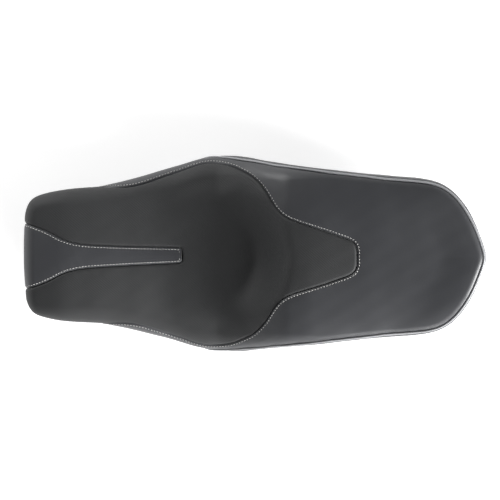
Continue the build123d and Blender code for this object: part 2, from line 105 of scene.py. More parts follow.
def curveThrough(points, step, start=None, end=None):  # even samples of a cubic spline
    p = np.array(points, float)
    t = lengths(p)
    h = np.diff(t)
    n = len(p)
    a = np.zeros((n, n))
    b = np.zeros((n, 2))
    for i in range(1, n - 1):
        a[i, i - 1:i + 2] = h[i - 1], 2 * (h[i - 1] + h[i]), h[i]
        b[i] = 6 * ((p[i + 1] - p[i]) / h[i] - (p[i] - p[i - 1]) / h[i - 1])
    a[0, 0] = a[-1, -1] = 1
    if start is not None:
        a[0, :2] = 2 * h[0], h[0]
        b[0] = 6 * ((p[1] - p[0]) / h[0] - np.array(start, float))
    if end is not None:
        a[-1, -2:] = h[-1], 2 * h[-1]
        b[-1] = 6 * (np.array(end, float) - (p[-1] - p[-2]) / h[-1])
    bend = np.linalg.solve(a, b)
    fine = np.linspace(0, t[-1], 3000)
    i = np.clip(np.searchsorted(t, fine, side="right") - 1, 0, n - 2)
    u, w, hi = (fine - t[i])[:, None], (t[i + 1] - fine)[:, None], h[i][:, None]
    q = (
        bend[i] * w ** 3 / (6 * hi) + bend[i + 1] * u ** 3 / (6 * hi)
        + (p[i] / hi - bend[i] * hi / 6) * w + (p[i + 1] / hi - bend[i + 1] * hi / 6) * u
    )
    return evenly(q, step)


def lengths(path):  # distance along a path at each of its points
    return np.concatenate([[0], np.cumsum(np.linalg.norm(np.diff(path, axis=0), axis=1))])


def evenly(q, step=None, count=None):  # the same path with evenly spaced points
    s = lengths(q)
    count = count or max(int(round(s[-1] / step)), 2) + 1
    at = np.linspace(0, s[-1], count)
    return np.stack([np.interp(at, s, q[:, k]) for k in range(q.shape[1])], axis=1)


def directions(path):
    d = np.gradient(path, axis=0)
    return d / np.linalg.norm(d, axis=1)[:, None]


outlineStep = 0.6
outlinePath = curveThrough(seatForm["outline"], outlineStep, (0, 1), (0, -1))
outlineWay = directions(outlinePath)
outlineWay[0], outlineWay[-1] = (0, 1), (0, -1)  # square to the middle line
outlineOut = np.stack([-outlineWay[:, 1], outlineWay[:, 0]], axis=1)
outlineBend = np.gradient(outlineOut, axis=0) / outlineStep


def nearest(path, q):  # index of the path's nearest point for each q
    found = np.empty(len(q), int)
    for a in range(0, len(q), 4000):
        gap = q[a:a + 4000, None, :] - path[None, :, :]
        found[a:a + 4000] = np.argmin(np.einsum("ijk,ijk->ij", gap, gap), axis=1)
    return found


def distanceTo(path, q):
    i = nearest(path, q)
    gap = q - path[i]
    across = np.abs(gap[:, 0] * directions(path)[i, 1] - gap[:, 1] * directions(path)[i, 0])
    inside = (i > 0) & (i < len(path) - 1)
    return np.where(inside, across, np.linalg.norm(gap, axis=1))


def outlineFoot(q):  # nearest outline point, outward direction and depth inside it
    i = nearest(outlinePath, q)
    along = np.einsum("ij,ij->i", q - outlinePath[i], outlineWay[i])
    along = np.clip(along, -outlineStep, outlineStep)
    foot = outlinePath[i] + along[:, None] * outlineWay[i]
    out = outlineOut[i] + along[:, None] * outlineBend[i]
    out /= np.linalg.norm(out, axis=1)[:, None]
    return foot, out, np.einsum("ij,ij->i", foot - q, out)


def crown(x, y):  # height of the upholstery before its edges roll over
    y = np.abs(y)
    saddle = heightAlong(seatForm["saddle"], x)
    saddle = saddle - seatForm["saddleRound"] * ease((-60 - x) / 200) * (y / 150) ** 2.2
    saddle = saddle + seatForm["hipLift"] * ease((x + 200) / 120) * (np.minimum(y, 120) / 120) ** 2
    cushion = heightAlong(seatForm["cushion"], x) - seatForm["cushionRound"] * (y / 150) ** 2.6
    flat, rim = seatForm["dishFlat"], seatForm["dishRim"]
    reach = np.maximum((np.hypot(x - seatForm["dishMiddle"], y) - flat) / (rim - flat), 0)
    rise = cushion - saddle
    wall = saddle + rise * reach ** 2 * (2.3 - 1.3 * np.minimum(reach, 1.2))
    crease = 0.1 + seatForm["creaseWidth"] * np.clip(rise / 15, 0, 1)
    overlap = np.maximum(crease - np.abs(cushion - wall), 0) / crease
    creased = np.minimum(cushion, wall) - overlap ** 2 * crease / 4
    height = np.where(rise > 0, creased, saddle + rise * ease(reach))
    return np.where(reach > 0, height, saddle)


def tailRim(x, depth):  # low rim round the passenger's end
    along = ease((x - seatForm["rimStart"]) / seatForm["rimRun"])
    inward = ease((seatForm["rimInner"] - depth) / seatForm["rimWidth"])
    return seatForm["rimHeight"] * along * inward


def rollRadius(x):
    tail = ease(x / 160)
    waist = seatForm["rollWaist"] * ease((x + 420) / 160) * (1 - tail)
    return seatForm["rollNose"] + waist + seatForm["rollTail"] * tail


# The plan is unrolled: inside the shoulder it is the view from above, and beyond it it runs
# on over the shoulder and down the side wall at true length
def skin(plan):
    side = np.where(plan[:, 1] < 0, -1.0, 1.0)
    q = np.stack([plan[:, 0], np.abs(plan[:, 1])], axis=1)
    foot, out, depth = outlineFoot(q)
    r = rollRadius(foot[:, 0])
    turn = np.maximum((r - depth) / r, 0)
    angle = np.minimum(turn, math.pi / 2)
    down = np.maximum(turn - math.pi / 2, 0) * r
    inside = turn <= 0
    true = np.where(inside, depth, r * (1 - np.sin(angle)))
    flat = np.where(inside[:, None], q, foot - out * true[:, None])
    z = crown(flat[:, 0], flat[:, 1]) + tailRim(flat[:, 0], np.maximum(true, 0))
    z = z - r * (1 - np.cos(angle))
    low = heightAlong(seatForm["bottomEdge"], foot[:, 0])
    lean = seatForm["wallLean"] * (1 - ease(low / seatForm["leanFades"]))
    flat = flat - out * (lean * down / np.maximum(z - low, 20))[:, None]
    return np.stack([flat[:, 0], flat[:, 1] * side, z - down], axis=1)


def skinNormal(plan):
    step = 0.5
    dx, dy = np.array([step, 0]), np.array([0, step])
    across = np.cross(skin(plan + dx) - skin(plan - dx), skin(plan + dy) - skin(plan - dy))
    return across / np.linalg.norm(across, axis=1)[:, None]


def unroll(points):  # from the view from above to the unrolled plan
    q = np.array(points, float)
    foot, out, depth = outlineFoot(q)
    r = rollRadius(foot[:, 0])
    angle = np.arcsin(np.clip(1 - depth / r, 0, 1))
    return np.where((depth < r)[:, None], foot - out * (r - r * angle)[:, None], q)


def wallPlan(foot, out, share):  # down the side wall: share 0 at its top, 1 at the bottom edge
    r = rollRadius(foot[:, 0])
    top = crown(foot[:, 0], foot[:, 1]) + tailRim(foot[:, 0], foot[:, 0] * 0) - r
    fall = (top - heightAlong(seatForm["bottomEdge"], foot[:, 0])) * share
    return foot + out * (r * (math.pi / 2 - 1) + fall)[:, None]


def levelPlan(foot, out, z):  # where the side passes height z, on the shoulder or the wall
    r = rollRadius(foot[:, 0])
    inner = foot - out * 4
    top = crown(inner[:, 0], inner[:, 1]) + tailRim(foot[:, 0], foot[:, 0] * 0 + 4)
    drop = np.maximum(top - z, 0)
    angle = np.arccos(np.clip(1 - drop / r, 0, 1))
    return foot + out * (r * angle - r + np.maximum(drop - r, 0))[:, None]


def outlineAt(x):  # index on the outline at x
    return int(np.argmin(np.abs(outlinePath[:, 0] - x)))


# Seams on the right half, in the unrolled plan, from the nose towards the tail
seamShape = {
    "step": 1.0, "insertHalfWidth": 60,
    "insertWall": [1, 0.66, 0.33, 0],  # shares down the nose, at the insert's edge
    "insert": [
        (-409, 58.5), (-388, 52), (-368, 43.5), (-348, 33), (-328, 26), (-308, 22.5),
        (-268, 19.6), (-208, 17), (-136, 14.5), (-131.5, 13.4), (-129.8, 11),
    ],
    "insertEnd": [(-129.4, 6), (-129.4, 0)],
    "riderWall": [(-348, 1), (-336, 0.75), (-322, 0.5), (-305, 0.24), (-287, 0.02)],
    "rider": [
        (-250, 126.4), (-221, 127.8), (-193, 135), (-165, 145), (-137, 154.8), (-109, 165.1),
        (-81, 171), (-54, 168.9), (-34, 163.4), (-17, 155.2), (1, 144), (13, 132.4),
        (27, 113.7), (41, 90.5), (54, 76.5), (81, 63.5), (108, 54.6), (135, 46), (162, 36.5),
        (177, 30.5), (184.5, 24), (188, 14), (188.5, 0),
    ],
    "pipingStart": -192,
}


def insertSeam():
    foot, out = outlinePath[[noseRun] * 4], outlineOut[[noseRun] * 4]
    wall = wallPlan(foot, out, np.array(seamShape["insertWall"]))
    side = curveThrough(np.concatenate([wall, unroll(seamShape["insert"])]), seamShape["step"])
    end = curveThrough([side[-1], *seamShape["insertEnd"]], seamShape["step"], end=(0, -1))
    return side, np.concatenate([side, end[1:]])


def riderSeam():
    wall = []
    for x, share in seamShape["riderWall"]:
        i = outlineAt(x)
        wall.append(wallPlan(outlinePath[[i]], outlineOut[[i]], np.array([share]))[0])
    points = np.concatenate([wall, unroll(seamShape["rider"])])
    return curveThrough(points, seamShape["step"], end=(0, -1))


noseRun = int(np.argmin(np.abs(outlinePath[:400, 1] - seamShape["insertHalfWidth"])))
insertSide, insertPath = insertSeam()
riderPath = riderSeam()
wingRun = outlineAt(seamShape["riderWall"][0][0])
pipeRun = outlineAt(seamShape["pipingStart"])
bottomPath = wallPlan(outlinePath, outlineOut, np.ones(len(outlinePath)))
pipeHeight = heightAlong(seatForm["piping"], outlinePath[:, 0])
pipePath = levelPlan(outlinePath, outlineOut, pipeHeight)[pipeRun:]
noseBottom = bottomPath[noseRun:wingRun + 1]
wingBottom = bottomPath[wingRun:pipeRun + 1]
skirtBottom = bottomPath[pipeRun:]
print("seams laid out, piping", round(len(pipePath) * outlineStep), "mm a side")


def matched(path, marks, count):  # points of a path, with row shares tied to length shares
    s = lengths(path)
    places = [(row, s[-1] * share) for row, share in marks]
    at = heightAlong(places, np.linspace(0, 1, count))
    return np.stack([np.interp(at, s, path[:, k]) for k in (0, 1)], axis=1)


def shareAt(path, x, part=(0, 1)):  # length share at which a path passes x
    a, b = int(part[0] * (len(path) - 1)), int(part[1] * (len(path) - 1))
    i = a + int(np.argmin(np.abs(path[a:b + 1, 0] - x)))
    s = lengths(path)
    return s[i] / s[-1]


# How the vinyl lies at its seams
seamLay = {
    "grooveDepth": 2.9, "grooveWidth": 5.2,
    "fill": 1.6, "fillReach": 16.0,
    "ripple": 0.22, "rippleLength": 22.0, "rippleReach": 13.0,
    "uneven": 0.28, "unevenLength": 110.0,
}


def seamLift(d):  # height over the plain form at distance d from the seam
    w = seamLay["grooveWidth"]
    groove = -seamLay["grooveDepth"] * np.clip(1 - d / w, 0, 1) ** 2
    return groove + seamLay["fill"] * (1 - np.exp(-d / seamLay["fillReach"]))


def unevenness(place, d):  # slow waves in the foam, and short ones where the seam pulls
    x, y, z = place.T
    k = 2 * math.pi / seamLay["unevenLength"]
    slow = np.sin(k * (x + 0.4 * y) + 1.1) * np.sin(k * (0.9 * y - 0.3 * x + z) + 0.4)
    slow = slow + 0.5 * np.sin(k * (1.9 * x - 1.3 * y) + 2.2) * np.sin(k * 1.7 * (y + 0.3 * z))
    k = 2 * math.pi / seamLay["rippleLength"]
    short = np.sin(k * (x + 0.7 * y - 0.5 * z) + 2 * np.sin(0.021 * x - 0.03 * y))
    short = short * (0.6 + 0.4 * np.sin(0.043 * y + 0.031 * x))
    near = np.exp(-d / seamLay["rippleReach"])
    return seamLay["uneven"] * slow + seamLay["ripple"] * short * near


def newPiece(name, bm, material, body="seat", smooth=True):
    mesh = bpy.data.meshes.new(name)
    for face in bm.faces:
        face.smooth = smooth
    bm.to_mesh(mesh)
    bm.free()
    piece = bpy.data.objects.new(name, mesh)
    bpy.context.scene.collection.objects.link(piece)
    piece.data.materials.append(material)
    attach(piece, body)
    return piece


def thicken(piece, thick, offset=-1.0):
    solid = piece.modifiers.new("thickness", "SOLIDIFY")
    solid.thickness = thick * mm
    solid.offset = offset
    solid.use_even_offset = False
    return solid


def newGrid(bm, rows, columns):  # a grid, with each vertex's row number and share across
    made = bmesh.ops.create_grid(bm, x_segments=rows, y_segments=columns, size=0.5)["verts"]
    grid = np.array([v.co for v in made])
    along = (grid[:, 0] - grid[:, 0].min()) / np.ptp(grid[:, 0])
    across = (grid[:, 1] - grid[:, 1].min()) / np.ptp(grid[:, 1])
    return np.rint(along * rows).astype(int), across


def mirrorRight(bm):
    everything = bm.verts[:] + bm.edges[:] + bm.faces[:]
    bmesh.ops.mirror(bm, geom=everything, axis="Y", merge_dist=0.01)


def layPanel(inner, outer, columns, seams, mirror=True, bulge=0.0, gather=0.6):
    # a grid whose rows run along the seams, laid on the form and tucked in at its edges
    bm = bmesh.new()
    s, t = newGrid(bm, len(inner) - 1, columns)
    planLayer = bm.verts.layers.float_vector.new("plan")
    liftLayer = bm.verts.layers.float.new("lift")
    seamLayer = bm.verts.layers.float.new("seam")
    t = t - gather * np.sin(2 * math.pi * t) / (2 * math.pi)
    plan = inner[s] * (1 - t)[:, None] + outer[s] * t[:, None]
    place = skin(plan)
    toSeam = np.full(len(plan), 1e3)
    for seam in seams:
        toSeam = np.minimum(toSeam, distanceTo(seam, np.abs(plan) * [0, 1] + plan * [1, 0]))
    lift = seamLift(toSeam) + bulge * np.sin(math.pi * np.clip(t, 0, 1))
    for v, p, q, up, d in zip(bm.verts, place, plan, lift, toSeam):
        v.co = p
        v[planLayer] = (*q, 0)
        v[liftLayer] = up
        v[seamLayer] = d
    if mirror:
        for v in bm.verts:
            if abs(v.co.y) < 0.02:
                v.co.y = 0
        mirrorRight(bm)
    bmesh.ops.remove_doubles(bm, verts=bm.verts, dist=0.01)
    bmesh.ops.recalc_face_normals(bm, faces=bm.faces)
    bm.normal_update()
    if sum(f.normal.z * f.calc_area() for f in bm.faces) < 0 and mirror:
        bmesh.ops.reverse_faces(bm, faces=bm.faces)
        bm.normal_update()
    uv = bm.loops.layers.uv.new("plan")
    for face in bm.faces:
        middle = face.calc_center_median().y
        for loop in face.loops:
            q = loop.vert[planLayer]
            loop[uv].uv = (q.x * mm, (-q.y if middle < 0 and mirror else q.y) * mm)
    place = np.array([v.co for v in bm.verts])
    wave = unevenness(place, np.array([v[seamLayer] for v in bm.verts]))
    for v, up in zip(bm.verts, wave):
        v.co += v.normal * (v[liftLayer] + up)
    bmesh.ops.scale(bm, vec=(mm, mm, mm), verts=bm.verts)
    return bm


def linear(code):  # sRGB hex to linear
    parts = [int(code[i:i + 2], 16) / 255 for i in (1, 3, 5)]
    return [c / 12.92 if c <= 0.04045 else ((c + 0.055) / 1.055) ** 2.4 for c in parts] + [1]


def newMaterial(name):
    material = bpy.data.materials.new(name)
    material.use_nodes = True
    material.node_tree.nodes.clear()
    return material, material.node_tree


def addNode(tree, kind, settings=(), links=()):
    node = tree.nodes.new(kind)
    for name, value in dict(settings).items():
        if isinstance(name, str) and hasattr(node, name):
            setattr(node, name, value)
        else:
            node.inputs[name].default_value = value
    for name, socket in dict(links).items():
        tree.links.new(socket, node.inputs[name])
    return node


def finishMaterial(tree, settings, links):
    shader = addNode(tree, "ShaderNodeBsdfPrincipled", settings, links)
    addNode(tree, "ShaderNodeOutputMaterial", {}, {"Surface": shader.outputs[0]})
    return shader


# Smooth upholstery vinyl: calendered PVC, a satin skin with a fine leather print
smoothVinylLook = {
    "colour": "#343538", "worn": "#3d3e41", "roughness": 0.46, "roughnessSpread": 0.07,
    "grain": 1.5, "grainDepth": 0.10, "patch": 160.0,
}


def makeSmoothVinyl(name, look):
    material, tree = newMaterial(name)
    uv = addNode(tree, "ShaderNodeUVMap", {"uv_map": "plan"})
    at = addNode(tree, "ShaderNodeTexCoord")
    patch = addNode(tree, "ShaderNodeTexNoise", {"Scale": 1000 / look["patch"], "Detail": 3.0},
                    {"Vector": at.outputs["Object"]})
    tone = addNode(tree, "ShaderNodeMix", {"data_type": "RGBA", 6: linear(look["colour"]),
                                           7: linear(look["worn"])},
                   {0: patch.outputs["Fac"]})
    cells = addNode(tree, "ShaderNodeTexVoronoi",
                    {"feature": "SMOOTH_F1", "Scale": 1000 / look["grain"], "Smoothness": 0.6},
                    {"Vector": uv.outputs["UV"]})
    folds = addNode(tree, "ShaderNodeTexNoise", {"Scale": 420 / look["grain"], "Detail": 4.0},
                    {"Vector": uv.outputs["UV"]})
    grain = addNode(tree, "ShaderNodeMath", {"operation": "ADD"},
                    {0: cells.outputs["Distance"], 1: folds.outputs["Fac"]})
    bump = addNode(tree, "ShaderNodeBump", {"Strength": 0.55, "Distance": look["grainDepth"] * mm},
                   {"Height": grain.outputs[0]})
    rough = addNode(tree, "ShaderNodeMapRange",
                    {"From Min": 0.3, "From Max": 0.7,
                     "To Min": look["roughness"] - look["roughnessSpread"],
                     "To Max": look["roughness"] + look["roughnessSpread"]},
                    {"Value": patch.outputs["Fac"]})
    finishMaterial(tree, {"IOR": 1.5, "Sheen Weight": 0.06, "Sheen Roughness": 0.4},
                   {"Base Color": tone.outputs[2], "Roughness": rough.outputs[0],
                    "Normal": bump.outputs[0]})
    return material


# Grip vinyl: PVC embossed with a fine diagonal twill. It looks duller and darker than the
# smooth vinyl. The real rib is about 1.2 mm, drawn at 2.6 mm so that it shows in a render
# The second, lighter colour is a painted highlight on the twill's crests
gripVinylLook = {
    "colour": "#232425", "ridgeHighlight": "#2d2e2f", "roughness": 0.66, "rib": 2.6, "ribDepth": 0.16,
    "fleck": 1.6, "patch": 140.0,
}


def makeGripVinyl(name, look):
    material, tree = newMaterial(name)
    uv = addNode(tree, "ShaderNodeUVMap", {"uv_map": "plan"})
    at = addNode(tree, "ShaderNodeTexCoord")
    heights = []
    for turn, rib in ((0.72, look["rib"]), (-0.85, look["rib"] * 1.35)):
        mapped = addNode(tree, "ShaderNodeMapping", {"Rotation": (0, 0, turn)},
                         {"Vector": uv.outputs["UV"]})
        wave = addNode(tree, "ShaderNodeTexWave",
                       {"wave_profile": "SIN", "Scale": 1000 / rib * math.pi / 10,
                        "Distortion": 0.6, "Detail": 1.0, "Detail Scale": 2.0},
                       {"Vector": mapped.outputs[0]})
        heights.append(wave.outputs["Fac"])
    twill = addNode(tree, "ShaderNodeMath", {"operation": "MULTIPLY_ADD", 1: 0.65},
                    {0: heights[0], 2: heights[1]})
    fleck = addNode(tree, "ShaderNodeTexVoronoi", {"Scale": 1000 / look["fleck"]},
                    {"Vector": uv.outputs["UV"]})
    relief = addNode(tree, "ShaderNodeMath", {"operation": "MULTIPLY_ADD", 1: 0.35},
                     {0: fleck.outputs["Distance"], 2: twill.outputs[0]})
    patch = addNode(tree, "ShaderNodeTexNoise", {"Scale": 1000 / look["patch"], "Detail": 3.0},
                    {"Vector": at.outputs["Object"]})
    # Painted highlight: the crests of the twill are tinted lighter, more so in random patches
    share = addNode(tree, "ShaderNodeMath", {"operation": "MULTIPLY", "use_clamp": True},
                    {0: twill.outputs[0], 1: patch.outputs["Fac"]})
    tone = addNode(tree, "ShaderNodeMix", {"data_type": "RGBA", 6: linear(look["colour"]),
                                           7: linear(look["ridgeHighlight"])}, {0: share.outputs[0]})
    bump = addNode(tree, "ShaderNodeBump", {"Strength": 0.6, "Distance": look["ribDepth"] * mm},
                   {"Height": relief.outputs[0]})
    finishMaterial(tree, {"IOR": 1.48, "Roughness": look["roughness"], "Sheen Weight": 0.05},
                   {"Base Color": tone.outputs[2], "Normal": bump.outputs[0]})
    return material


# Plain finishes: one function, since only the numbers differ
plainLook = {"ior": 1.5, "spread": 0.08, "broad": 18, "fineDetail": 5.0, "broadDetail": 3.0}


def makeFinish(name, colour, second, roughness, metallic=0.0, grain=2.0, depth=0.05,
               stretch=(1, 1, 1)):
    material, tree = newMaterial(name)
    at = addNode(tree, "ShaderNodeTexCoord")
    mapped = addNode(tree, "ShaderNodeMapping", {"Scale": stretch},
                     {"Vector": at.outputs["Object"]})
    fine = addNode(tree, "ShaderNodeTexNoise", {"Scale": 1000 / grain,
                                                "Detail": plainLook["fineDetail"]},
                   {"Vector": mapped.outputs[0]})
    broad = addNode(tree, "ShaderNodeTexNoise", {"Scale": 1000 / (grain * plainLook["broad"]),
                                                 "Detail": plainLook["broadDetail"]},
                    {"Vector": at.outputs["Object"]})
    tone = addNode(tree, "ShaderNodeMix", {"data_type": "RGBA", 6: linear(colour),
                                           7: linear(second)}, {0: broad.outputs["Fac"]})
    rough = addNode(tree, "ShaderNodeMapRange",
                    {"From Min": 0.3, "From Max": 0.7, "To Min": roughness - plainLook["spread"],
                     "To Max": roughness + plainLook["spread"]}, {"Value": fine.outputs["Fac"]})
    bump = addNode(tree, "ShaderNodeBump", {"Strength": 0.5, "Distance": depth * mm},
                   {"Height": fine.outputs["Fac"]})
    finishMaterial(tree, {"Metallic": metallic, "IOR": plainLook["ior"]},
                   {"Base Color": tone.outputs[2], "Roughness": rough.outputs[0],
                    "Normal": bump.outputs[0]})
    return material


smoothVinyl = makeSmoothVinyl("smooth_vinyl_calendered", smoothVinylLook)
gripVinyl = makeGripVinyl("grip_vinyl_embossed_twill", gripVinylLook)
# Coarser print than on the top panels: a flatter, lighter grey with a visible grain
sideVinylLook = dict(smoothVinylLook, colour="#3a3b3e", worn="#444548", grain=3.0,
                     grainDepth=0.22, roughness=0.5)
sideVinyl = makeSmoothVinyl("side_vinyl_coarse_print", sideVinylLook)
# Extruded cord cover with a metallic pigment: a soft continuous highlight
pipingSilver = makeFinish("piping_silver_pvc", "#a5a6a8", "#959699", 0.36, grain=1.2, depth=0.04)
# Waxed twisted yarn: off-white, dull, fine ridges
threadWhite = makeFinish("thread_bonded_polyester", "#eeedea", "#dddbd6", 0.6, grain=0.5,
                         depth=0.08)
# Open cells: matt cream, unevenly yellowed
foamCream = makeFinish("foam_open_cell_polyurethane", "#d9d2b4", "#c8bf9c", 0.9, grain=1.6,
                       depth=0.6)
# Textured mould: near black with a low sheen
panPlastic = makeFinish("pan_moulded_polypropylene", "#202123", "#2a2b2d", 0.55, grain=1.1,
                        depth=0.08)
# Baked powder: slight orange peel over black
blackPowder = makeFinish("bracket_black_powder_coat", "#1b1c1e", "#262729", 0.45, grain=0.9,
                         depth=0.07)
# Barrel plated steel: bright, with a faint cloudiness
zincPlate = makeFinish("steel_bright_zinc_plate", "#b9bcc0", "#9da1a6", 0.3, metallic=1.0,
                       grain=1.5, depth=0.02, stretch=(1, 1, 3))
# Pressed powder metal: warm and slightly granular
plainBronze = makeFinish("bush_sintered_bronze", "#b08a4a", "#94703a", 0.38, metallic=1.0,
                         grain=0.6, depth=0.04)
# Moulded rubber: black and dull
bumperRubber = makeFinish("bumper_moulded_rubber", "#18181a", "#222224", 0.75, grain=1.4,
                          depth=0.1)
# Drawn wire: grey, brighter than the plated parts' edges
stapleWire = makeFinish("staple_galvanised_wire", "#b3b6b9", "#8f9397", 0.35, metallic=1.0,
                        grain=0.8, depth=0.02)
# The panels' own vinyl, seen from its edge where it is turned under: rougher, a little paler
hemVinyl = makeFinish("hem_vinyl_turned_edge", "#2a2b2c", "#353637", 0.6, grain=2.2, depth=0.12)
print("materials made")

# Cover panels
panelCount = {"insert": (220, 40), "rider": (210, 84), "passenger": (230, 80), "skirt": (230, 22)}
vinylThick = 1.8

rows, columns = panelCount["insert"]
insertRight = evenly(insertSide, count=rows + 1)
insertLeft = insertRight * [1, -1]
bm = layPanel(insertLeft, insertRight, columns, [insertSide], mirror=False)
noseInsert = newPiece("nose_insert", bm, smoothVinyl)

rows, columns = panelCount["rider"]
riderOuter = np.concatenate([noseBottom, riderPath[1:]])
riderMarks = [
    (0, 0, 0),
    (0.12, shareAt(insertPath, -400), shareAt(riderOuter, -405, (0, 0.2))),
    (0.24, shareAt(insertPath, -345), shareAt(riderOuter, -348, (0, 0.3))),
    (0.36, shareAt(insertPath, -270), shareAt(riderOuter, -285, (0.1, 0.5))),
    (0.52, shareAt(insertPath, -180), shareAt(riderOuter, -170, (0.2, 0.8))),
    (0.64, shareAt(insertPath, -138), shareAt(riderOuter, -75, (0.2, 0.8))),
    (1, 1, 1),
]
inner = matched(insertPath, [(m[0], m[1]) for m in riderMarks], rows + 1)
outer = matched(riderOuter, [(m[0], m[2]) for m in riderMarks], rows + 1)
bm = layPanel(inner, outer, columns, [insertPath, riderPath, noseBottom])
riderPanel = newPiece("rider_panel", bm, gripVinyl)

rows, columns = panelCount["passenger"]
passengerOuter = np.concatenate([wingBottom, pipePath[1:]])
passengerMarks = [
    (0, 0, 0),
    (0.1, shareAt(riderPath, -287, (0, 0.3)), shareAt(passengerOuter, -262)),
    (0.22, shareAt(riderPath, -193, (0, 0.4)), shareAt(passengerOuter, -188)),
    (0.36, shareAt(riderPath, -70, (0.2, 0.6)), shareAt(passengerOuter, -70)),
    (0.5, shareAt(riderPath, 10, (0.4, 0.8)), shareAt(passengerOuter, 40)),
    (0.62, shareAt(riderPath, 60, (0.5, 1)), shareAt(passengerOuter, 150)),
    (0.78, shareAt(riderPath, 150, (0.6, 1)), shareAt(passengerOuter, 300)),
    (0.9, shareAt(riderPath, 184, (0.6, 1)), shareAt(passengerOuter, 385)),
    (1, 1, 1),
]
inner = matched(riderPath, [(m[0], m[1]) for m in passengerMarks], rows + 1)
outer = matched(passengerOuter, [(m[0], m[2]) for m in passengerMarks], rows + 1)
bm = layPanel(inner, outer, columns, [riderPath, pipePath, wingBottom])
passengerPanel = newPiece("passenger_panel", bm, smoothVinyl)

rows, columns = panelCount["skirt"]
skirts = []
for name, side in (("skirt_left", -1), ("skirt_right", 1)):
    upper = evenly(pipePath, count=rows + 1) * [1, side]
    lower = evenly(skirtBottom, count=rows + 1) * [1, side]
    ends = (upper, lower) if side > 0 else (lower, upper)
    bm = layPanel(*ends, columns, [pipePath, skirtBottom], mirror=False, bulge=2.0)
    skirts.append(newPiece(name, bm, sideVinyl))
for piece in (noseInsert, riderPanel, passengerPanel, *skirts):
    thicken(piece, vinylThick)
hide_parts("cover_nose_insert")
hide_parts("cover_rider_panel")
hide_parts("cover_passenger_panel")
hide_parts("cover_skirt_left")
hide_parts("cover_skirt_right")
print("cover panels laid")

# White lock stitch: separate stitches of bonded thread
stitchShape = {"pitch": 5.6, "long": 3.6, "thick": 0.9, "proud": 0.28, "inset": 4.0}


def offsetPath(path, away):
    way = directions(path)
    return path + np.stack([-way[:, 1], way[:, 0]], axis=1) * away


def sewLine(bm, template, path, toSeam):
    spots = evenly(path, stitchShape["pitch"])
    middle = (spots[1:] + spots[:-1]) / 2
    place, normal = skin(middle), skinNormal(middle)
    ahead = skin(middle + directions(spots)[:-1] * 0.5) - place
    lift = seamLift(toSeam) + unevenness(place, toSeam)
    place = place + normal * (lift + stitchShape["proud"])[:, None]
    for p, n, way in zip(place, normal, ahead):
        up = Vector(n)
        along = (Vector(way) - up * up.dot(Vector(way))).normalized()
        turn = Matrix((along, up.cross(along), up)).transposed().to_4x4()
        before = len(bm.verts)
        bm.from_mesh(template)
        bm.verts.ensure_lookup_table()
        bmesh.ops.transform(bm, matrix=Matrix.Translation(p) @ turn, verts=bm.verts[before:])


def stitchTemplate():
    bm = bmesh.new()
    bmesh.ops.create_uvsphere(bm, u_segments=6, v_segments=6, radius=0.5)
    bmesh.ops.rotate(bm, matrix=Matrix.Rotation(math.pi / 2, 3, "Y"), verts=bm.verts)
    size = (stitchShape["long"], stitchShape["thick"], stitchShape["thick"])
    bmesh.ops.scale(bm, vec=size, verts=bm.verts)
    for v in bm.verts:
        v.co.z -= 0.16 * v.co.x ** 2  # the ends dive into their holes
    mesh = bpy.data.meshes.new("stitch")
    bm.to_mesh(mesh)
    bm.free()
    return mesh


def sew(name, paths):
    template = stitchTemplate()
    bm = bmesh.new()
    for path, toSeam in paths:
        sewLine(bm, template, path, toSeam)
    bmesh.ops.scale(bm, vec=(mm, mm, mm), verts=bm.verts)
    return newPiece(name, bm, threadWhite)


inset = stitchShape["inset"]
insertStitch = offsetPath(insertSide, -inset)
insertStitch = insertStitch[insertStitch[:, 0] < insertPath[-1, 0] - inset]
insertEndStitch = insertStitch[[-1, -1]] * [[1, -1], [1, 1]]
insertThread = sew("insert_stitching", [
    (insertStitch, inset), (insertStitch * [1, -1], inset), (evenly(insertEndStitch, 1.0), inset),
])
riderStitch = offsetPath(riderPath, inset)
riderStitch[:, 1] = np.maximum(riderStitch[:, 1], 0)
around = np.concatenate([riderStitch, (riderStitch * [1, -1])[::-1][1:]])
riderThread = sew("rider_seam_stitching", [(around, inset)])
print("stitches sewn")

# Piping: a round cord in the seam between the upper panels and the skirt
pipingShape = {
    "radius": 2.1, "proud": 0.6, "sides": 12, "step": 3.0,
    "tuck": [(-10, -15, 5.5), (-5, -7.5, 2.8)],  # its end, behind the bottom edge
}


def layTube(path, radius, sides):
    bm = bmesh.new()
    s, turn = newGrid(bm, len(path) - 1, sides)
    turn = turn * 2 * math.pi
    way = directions(path)
    up = np.tile([0.0, 0.0, 1.0], (len(path), 1))
    across = np.cross(way, up)
    across /= np.linalg.norm(across, axis=1)[:, None]
    up = np.cross(across, way)
    place = path[s] + radius * (np.cos(turn)[:, None] * across[s] + np.sin(turn)[:, None] * up[s])
    for v, p in zip(bm.verts, place):
        v.co = p
    bmesh.ops.remove_doubles(bm, verts=bm.verts, dist=0.05)
    bmesh.ops.holes_fill(bm, edges=[e for e in bm.edges if e.is_boundary], sides=sides + 2)
    bmesh.ops.recalc_face_normals(bm, faces=bm.faces)
    bmesh.ops.scale(bm, vec=(mm, mm, mm), verts=bm.verts)
    return bm


pipeRight = skin(pipePath) + skinNormal(pipePath) * pipingShape["proud"]
pipeTuck = pipeRight[0] + np.array(pipingShape["tuck"])
pipeRight = np.concatenate([pipeTuck, pipeRight])
pipeLoop = np.concatenate([pipeRight, (pipeRight * [1, -1, 1])[::-1][1:]])
pipeLoop = evenly(pipeLoop, pipingShape["step"])
pipeLoop[1:-1] = (pipeLoop[:-2] + 2 * pipeLoop[1:-1] + pipeLoop[2:]) / 4
bm = layTube(pipeLoop, pipingShape["radius"], pipingShape["sides"])
piping = newPiece("piping_cord", bm, pipingSilver)
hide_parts("piping")

